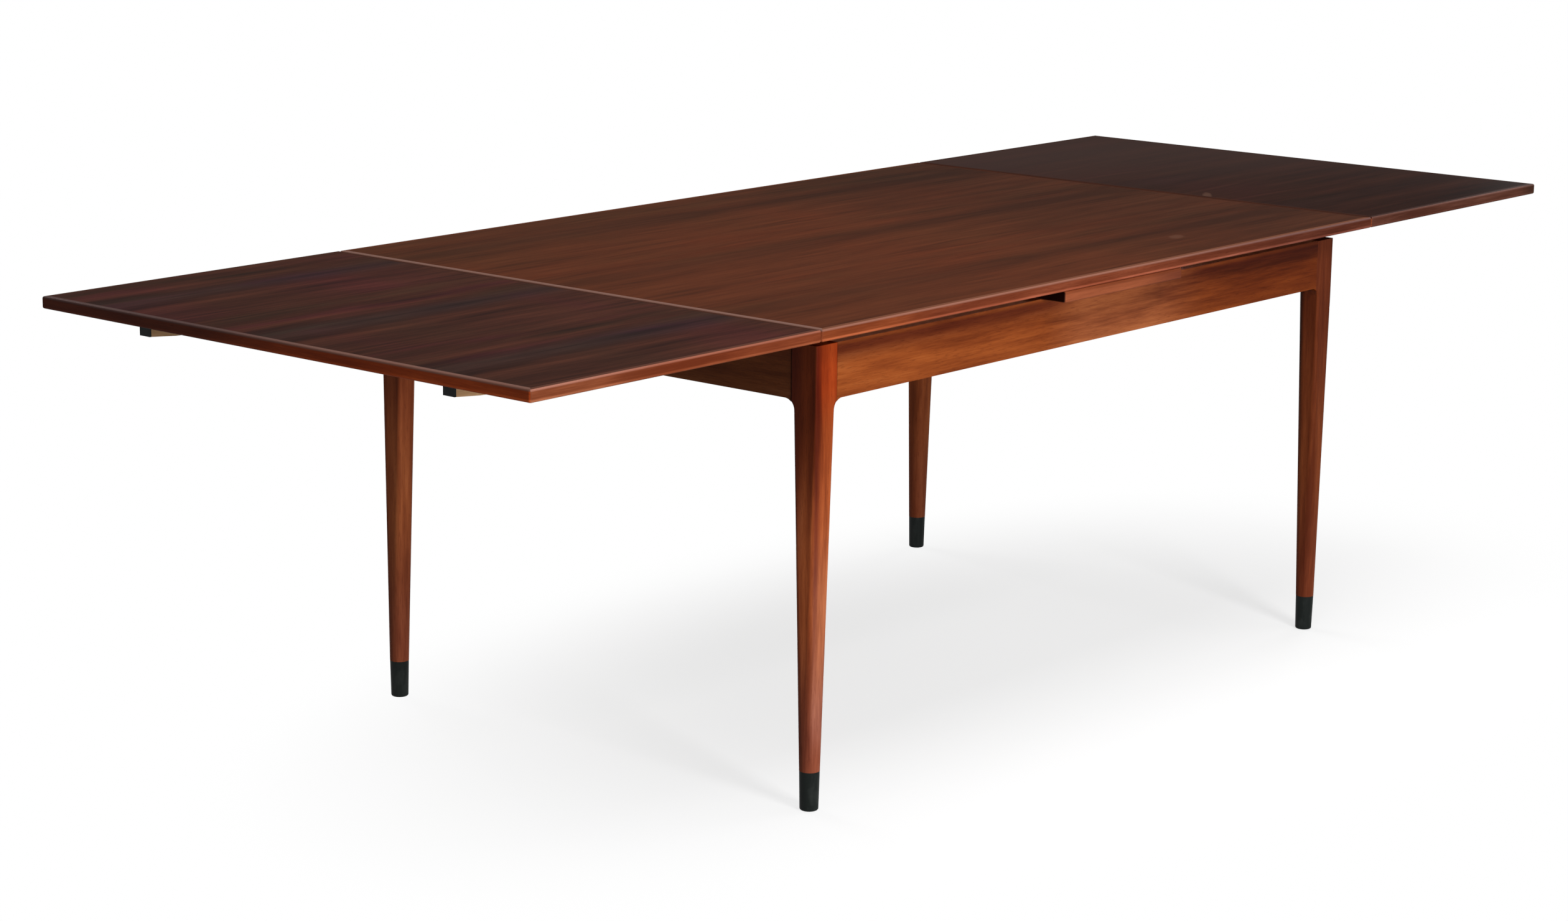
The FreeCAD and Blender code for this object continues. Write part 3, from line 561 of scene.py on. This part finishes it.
def left_face(wood):
    """1 on the faces that look towards the table's left."""
    return wood.level(wood.facing("x") * -1, *LEFT_FACE_SPAN)


def bridge_shade(wood):
    """Painted shade along the upper edge where it meets the top and on the right end, and a
    near-black left side for its deep shade.
    """
    shade_below_top = wood.past("z", *BRIDGE_CONTACT_SHADE_SPAN)
    shaded_end = wood.past("x", *BRIDGE_SHADED_END_SPAN) * (1 - shade_below_top * SHADOW_OVER_SHADED_END)
    wood.tint(shaded_end, shade=(0.66, 0.62, 0.72))
    wood.tint(shade_below_top, shade=(0.72, 0.64, 0.56))
    wood.tint(left_face(wood), shade=(0.04, 0.03, 0.04))


def shaded(span, shade):
    """A tint that comes in over a span of a leg's height."""
    def marking(wood):
        wood.tint(wood.past("z", *span), shade)
    return marking


def near_leg_tints_and_shade(wood):
    """The upper left face has painted shade from the leaf above, and the front is redder at
    the head and paler at the shin.
    Painted shade, uneven with the fibre, runs down the outer corner and the far edge of the
    left face."""
    left = left_face(wood)
    front = 1 - left
    wood.tint(left * wood.past("z", *SHADED_SIDE_SPAN), shade=(0.44, 0.42, 0.50))
    wood.tint(front * wood.past("z", *HEAD_SPAN), shade=(1.03, 0.72, 0.55))
    below_knee, above_ankle = SHIN_SPANS
    shin = wood.past("z", *below_knee) * wood.past("z", *above_ankle)
    wood.tint(front * shin, shade=(1.4, 1.9, 2.5))
    outer = front * (1 - wood.past("x", *OUTER_CORNER_SPAN))
    far = left * wood.past("y", *FAR_EDGE_SPAN)
    uneven = 0.6 + wood.fibre * 0.5
    # The streak is painted shade along the outer corner and the far edge.
    streak = (outer + far) * wood.past("z", *EDGE_SHADE_SPAN) * uneven
    wood.tint(streak, shade=(0.42, 0.32, 0.50))


dark_head = shaded((0.40, 0.60), (0.68, 0.50, 0.36))
dull_upper = shaded((0.25, 0.60), (0.60, 0.50, 0.52))
near_foot = shaded(FOOT_SPAN, (0.56, 0.58, 0.95))
left_foot = shaded(FOOT_SPAN, (0.74, 0.70, 0.95))
far_foot = shaded(FOOT_SPAN, (0.80, 0.76, 0.95))

paint(["centre_bridge"],
      solid("bridge", "x", bridge_tones, seed=4.4, streak=0.6, wear_and_light=[bridge_shade]))
# One set of tones, brighter or darker for each leg: painted light on the near and left legs,
# painted shade on the right and far legs.
paint(["leg_front_left"],
      solid("near_leg", "z", deeper(1.5, leg_tones), seed=5.2,
            wear_and_light=[dark_head, near_foot, near_leg_tints_and_shade]))
paint(["leg_front_right"],
      solid("right_leg", "z", deeper(0.85, leg_tones), seed=6.0,
            wear_and_light=[dull_upper, far_foot]))
paint(["leg_back_left"],
      solid("left_leg", "z", deeper(1.4, toned((0.92, 1.03, 1.12), leg_tones)), seed=7.4,
            wear_and_light=[dull_upper, left_foot]))
paint(["leg_back_right"],
      solid("far_leg", "z", deeper(0.8, leg_tones), seed=8.8, wear_and_light=[dark_head, far_foot]))


# Bare timber inside, black stain and screws

bare_tones = [(0.29, 0.155, 0.070), (0.41, 0.235, 0.115),
              (0.51, 0.305, 0.160), (0.58, 0.370, 0.210)]
bearers = [n for n in nodes if n.startswith("bearer_") and n.endswith(("front", "back"))]
shoes = [n for n in nodes if n.startswith("shoe_")]

paint(["cross_rail_left", "cross_rail_right"], solid("cross_rail", "y", bare_tones))
paint(["corner_blocks"], solid("corner_block", "x", bare_tones))
paint(bearers, solid("bearer", "x", bare_tones, seed=6.6))
paint(["top_pegs", "stop_pegs_left", "stop_pegs_right"], solid("peg", "z", bare_tones))

black = Finish("black_stain")
drawn_up = black.point(black.x, black.y, black.z * 0.4)
scuff = black.noise(drawn_up, scale=60.0, detail=3.0, roughness=0.6)
rub = black.level(scuff, 0.45, 0.7)
stained = (0.008, 0.0105, 0.0095, 1)
scuffed = (0.030, 0.034, 0.032, 1)
black.feed("Base Color", black.mix(rub * 0.5, stained, scuffed))
black.feed("Roughness", 0.4 + rub * 0.2)
black.satin(0.2, SATIN_ROUGH)
black.bump(scuff, depth=0.0003, strength=0.3)
paint(shoes + ["bearer_caps_left", "bearer_caps_right"], black)

metal = Finish("screw_metal")
tarnish = metal.noise(metal.point(metal.x, metal.y, metal.z), scale=900.0)
metal.feed("Base Color", (0.45, 0.38, 0.28, 1))
metal.feed("Metallic", 1.0)
metal.feed("Roughness", 0.3 + tarnish * 0.25)
paint(["bridge_screws", "bearer_screws_left", "bearer_screws_right"], metal)


# Camera: where the photographer stood, found from the lines of the table

PHOTO_WIDTH = 2520
FOCAL_LENGTH_IN_PIXELS = 5498.343
SENSOR_WIDTH = 36.0
# The camera's direction and distance from the place that it looks at
AZIMUTH = math.radians(-139.902)
ELEVATION = math.radians(12.6254)
ROLL = math.radians(0.70825)
DISTANCE = 5.466396
TARGET = Vector((-0.285589, -0.04497, 0.4))
SIGHT_REACH = 200


def set_camera():
    away = Vector((math.cos(ELEVATION) * math.cos(AZIMUTH),
                   math.cos(ELEVATION) * math.sin(AZIMUTH), math.sin(ELEVATION)))
    right = (-away).cross(Vector((0, 0, 1))).normalized()
    up = right.cross(-away)
    level_right = math.cos(ROLL) * right + math.sin(ROLL) * up
    level_up = -math.sin(ROLL) * right + math.cos(ROLL) * up
    turn = Matrix((level_right, level_up, away)).transposed().to_4x4()
    data = bpy.data.cameras.new("camera")
    data.sensor_width = SENSOR_WIDTH
    data.lens = SENSOR_WIDTH * FOCAL_LENGTH_IN_PIXELS / PHOTO_WIDTH
    data.clip_end = SIGHT_REACH
    camera = bpy.data.objects.new("camera", data)
    bpy.context.scene.collection.objects.link(camera)
    camera.matrix_world = Matrix.Translation(TARGET + away * DISTANCE) @ turn
    bpy.context.scene.camera = camera


set_camera()


# Floor: it fades to white away from the table, and keeps the table's shadow

FLOOR_SIZE = 60
WHITE = (1, 1, 1, 1)
OFF_WHITE = (0.95, 0.95, 0.95, 1)
GREY = (0.2, 0.2, 0.2, 1)
NEAR_GLOW_STRENGTH = 1.02
NEAR_GLOW_SHARE = 0.62
FADE_MIDDLE = (0.15, -0.15)
FADE_SPAN = (0.45, 1.6)
FADE_NARROWING = 1.75

bpy.ops.object.select_all(action="DESELECT")
bpy.ops.mesh.primitive_plane_add(size=FLOOR_SIZE)
floor = bpy.context.object
floor.name = "floor"
paper = Finish("pale_floor")
paper.feed("Base Color", GREY)
paper.feed("Roughness", 0.9)
paper.feed("Specular IOR Level", 0.0)
lit = paper.node("ShaderNodeBsdfDiffuse", inputs={"Color": OFF_WHITE})
glow_inputs = {"Color": WHITE, "Strength": NEAR_GLOW_STRENGTH}
glow = paper.node("ShaderNodeEmission", inputs=glow_inputs)
white = paper.node("ShaderNodeEmission", inputs={"Color": WHITE, "Strength": 1.0})
near = paper.node("ShaderNodeMixShader", inputs={0: NEAR_GLOW_SHARE, 1: lit, 2: glow})
reach_x = paper.x - FADE_MIDDLE[0]
reach_y = (paper.y - FADE_MIDDLE[1]) * FADE_NARROWING
far = paper.level((reach_x ** 2 + reach_y ** 2) ** 0.5, *FADE_SPAN)
shown = paper.node("ShaderNodeMixShader", inputs={0: far, 1: near, 2: white})
unseen = Amount(paper, paper.shader.outputs[0])
whole = paper.node("ShaderNodeMixShader", inputs={0: paper.seen(), 1: unseen, 2: shown})
paper.join(whole, paper.tree.nodes["Material Output"].inputs["Surface"])
floor.data.materials.append(paper.material)


# Light: the air lights the table a little, and shows as white

AIR_LIGHT = 0.06

world = bpy.data.worlds.new("studio")
bpy.context.scene.world = world
world.use_nodes = True
air = Network(world.node_tree)
backdrop = air.tree.nodes["Background"]
air.join(WHITE, backdrop.inputs["Color"])
air.join(AIR_LIGHT + air.seen() * (1 - AIR_LIGHT), backdrop.inputs["Strength"])


def softbox(name, place, aim, width, height, power):
    data = bpy.data.lights.new(name, "AREA")
    data.shape = "RECTANGLE"
    data.size = width
    data.size_y = height
    data.energy = power
    lamp = bpy.data.objects.new(name, data)
    bpy.context.scene.collection.objects.link(lamp)
    lamp.location = place
    lamp.rotation_euler = (Vector(aim) - Vector(place)).to_track_quat("-Z", "Y").to_euler()


# Each lamp's name, place, aim, width, height and power in watts
lamps = [
    ("overhead", (0.0, -0.5, 3.2), (0, 0, 0.7), 3.0, 1.8, 80),
    ("high_key", (-1.4, -4.2, 4.2), (0, 0, 0.5), 1.2, 1.2, 90),
    ("low_key", (-1.8, -5.2, 1.1), (0, 0, 0.5), 1.4, 1.4, 200),
    ("left_fill", (-5.0, 0.4, 1.5), (-0.7, 0, 0.4), 1.8, 1.4, 13),
    ("back_fill", (0.4, 5.0, 2.4), (0, 0, 0.5), 2.4, 1.8, 95),
    ("right_fill", (5.0, 0.6, 2.2), (0, 0, 0.5), 2.0, 1.8, 50),
]
for lamp in lamps:
    softbox(*lamp)

bpy.context.scene.view_settings.view_transform = "Standard"
